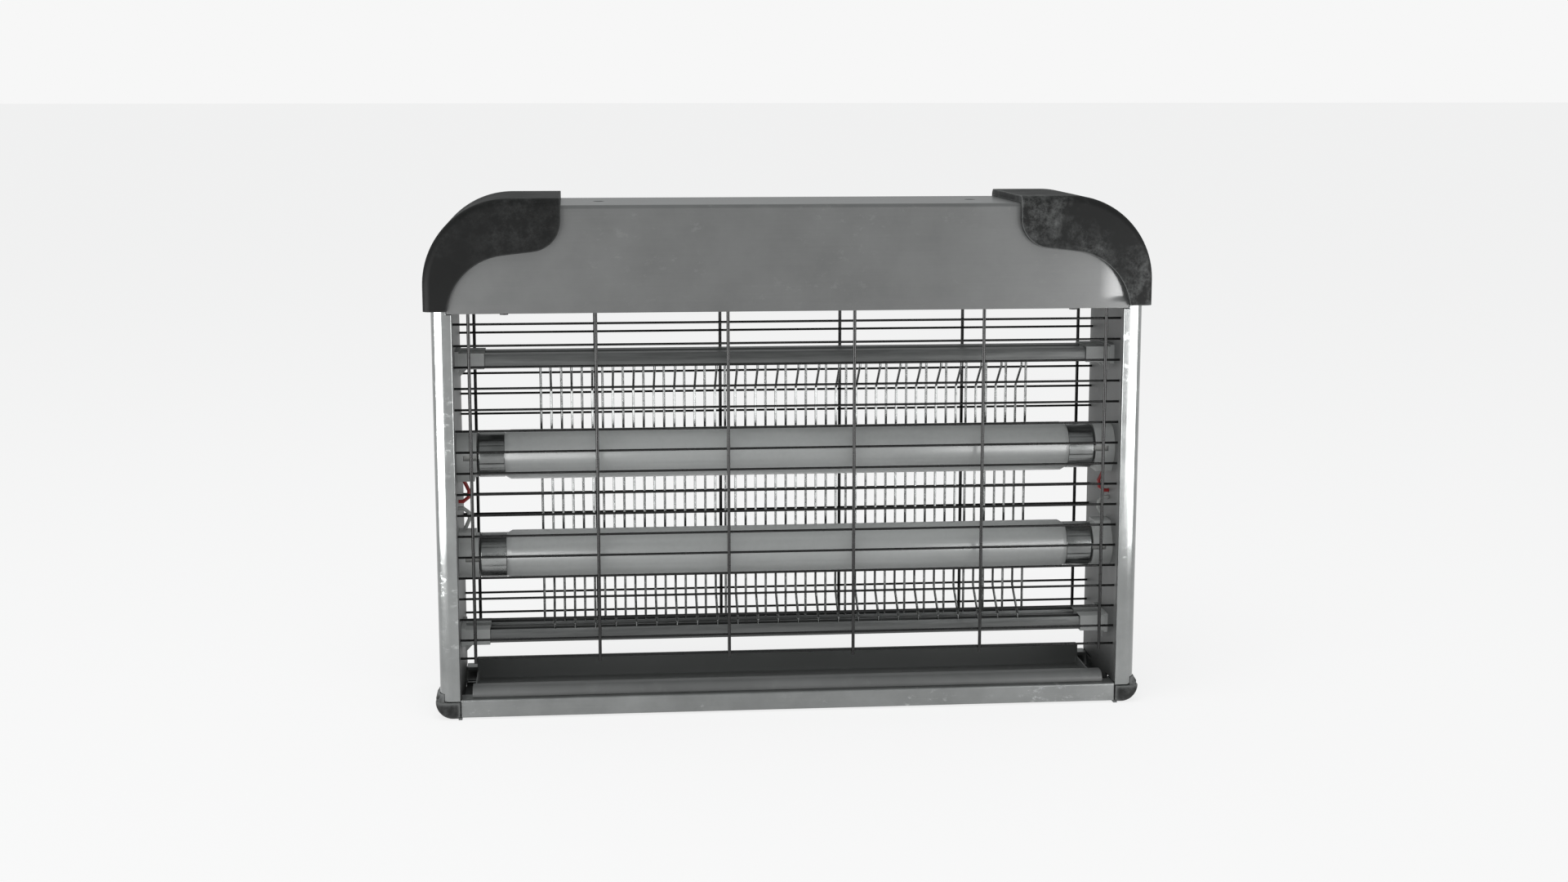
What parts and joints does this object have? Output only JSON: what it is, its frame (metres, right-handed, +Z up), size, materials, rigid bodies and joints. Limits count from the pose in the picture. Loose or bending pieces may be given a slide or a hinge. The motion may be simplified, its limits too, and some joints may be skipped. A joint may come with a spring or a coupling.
{
  "type": "electric insect killer",
  "caption": "Wall-hung or standing insect killer: UV tubes behind a live wire grid in an aluminium frame, with wire guards and a lift-out tray.",
  "frame": {"origin": "middle of the underside of the four feet, on the surface it stands on", "axes": "+Z up, +X along the tubes to the right as seen from the front, -Y towards the front"},
  "size_m": [0.383, 0.084, 0.276],
  "materials": {
    "aluminium": "satin anodised aluminium",
    "black_plastic": "moulded black plastic, fine grain",
    "liner_grey": "grey painted sheet",
    "grille_wire": "dark coated wire",
    "tray_metal": "dark grey painted sheet",
    "grid_rail_steel": "dull dark steel",
    "grid_wire_steel": "drawn steel wire",
    "grey_plastic": "grey moulded insulator",
    "tube_glass": "coated lamp glass",
    "chrome": "bright pressed end cap",
    "brass": "brass pins",
    "white_plastic": "white moulded plastic",
    "red_insulation": "red lead insulation",
    "grey_insulation": "light grey lead insulation",
    "cream_insulation": "heavy high-voltage insulation",
    "transformer_steel": "varnished laminations and winding",
    "ballast_steel": "grey ballast can",
    "rocker_red": "glossy rocker",
    "screw_steel": "zinc-plated screw"
  },
  "bodies": {
    "root": {"hood_shell": "aluminium", "hood_base": "aluminium", "corner_cap_left": "black_plastic", "corner_cap_right": "black_plastic", "side_frame_left": "aluminium", "side_frame_right": "aluminium", "side_liner_left": "liner_grey", "side_liner_right": "liner_grey", "foot_front_left": "black_plastic", "foot_front_right": "black_plastic", "foot_rear_left": "black_plastic", "foot_rear_right": "black_plastic", "bottom_rail_front": "aluminium", "bottom_rail_rear": "aluminium", "front_grille": "grille_wire", "rear_grille": "grille_wire", "grid_rail_top_front": "grid_rail_steel", "grid_rail_top_rear": "grid_rail_steel", "grid_rail_bottom_front": "grid_rail_steel", "grid_rail_bottom_rear": "grid_rail_steel", "grid_wires_front": "grid_wire_steel", "grid_wires_rear": "grid_wire_steel", "insulator_top_left": "grey_plastic", "insulator_top_right": "grey_plastic", "insulator_bottom_left": "grey_plastic", "insulator_bottom_right": "grey_plastic", "lampholder_upper_left": "grey_plastic", "lampholder_upper_right": "grey_plastic", "lampholder_lower_left": "grey_plastic", "lampholder_lower_right": "grey_plastic", "red_lead_left": "red_insulation", "red_lead_right": "red_insulation", "grey_lead_left": "grey_insulation", "grey_lead_right": "grey_insulation", "hv_transformer": "transformer_steel", "hv_leads": "cream_insulation", "ballast_left": "ballast_steel", "ballast_right": "ballast_steel", "starters": "white_plastic", "starter_sockets": "white_plastic", "terminal_block": "white_plastic", "cable_bush": "black_plastic", "bush_nut": "black_plastic", "switch_body": "black_plastic", "cap_screws": "screw_steel", "base_screws": "screw_steel"},
    "lamp_upper": {"tube_upper": "tube_glass", "tube_cap_upper_left": "chrome", "tube_cap_upper_right": "chrome", "tube_pins_upper": "brass", "rotor_upper_left": "white_plastic", "rotor_upper_right": "white_plastic"},
    "lamp_lower": {"tube_lower": "tube_glass", "tube_cap_lower_left": "chrome", "tube_cap_lower_right": "chrome", "tube_pins_lower": "brass", "rotor_lower_left": "white_plastic", "rotor_lower_right": "white_plastic"},
    "tray": {"collecting_tray": "tray_metal"},
    "rocker": {"switch_rocker": "rocker_red"}
  },
  "joints": [
    {"name": "tray_lift", "type": "slide", "parent": "root", "child": "tray", "axis": [0, 0, 1], "range_m": [0, 0.012]},
    {"name": "lamp_upper_twist", "type": "hinge", "parent": "root", "child": "lamp_upper", "pos_m": [0, -0.0147, 0.139], "axis": [1, 0, 0], "range_deg": [0, 90]},
    {"name": "lamp_lower_twist", "type": "hinge", "parent": "root", "child": "lamp_lower", "pos_m": [0, -0.0147, 0.0845], "axis": [1, 0, 0], "range_deg": [0, 90]},
    {"name": "switch_rock", "type": "hinge", "parent": "root", "child": "rocker", "pos_m": [-0.076, 0.0364, 0.244], "axis": [0, 0, 1], "range_deg": [0, 14]}
  ]
}
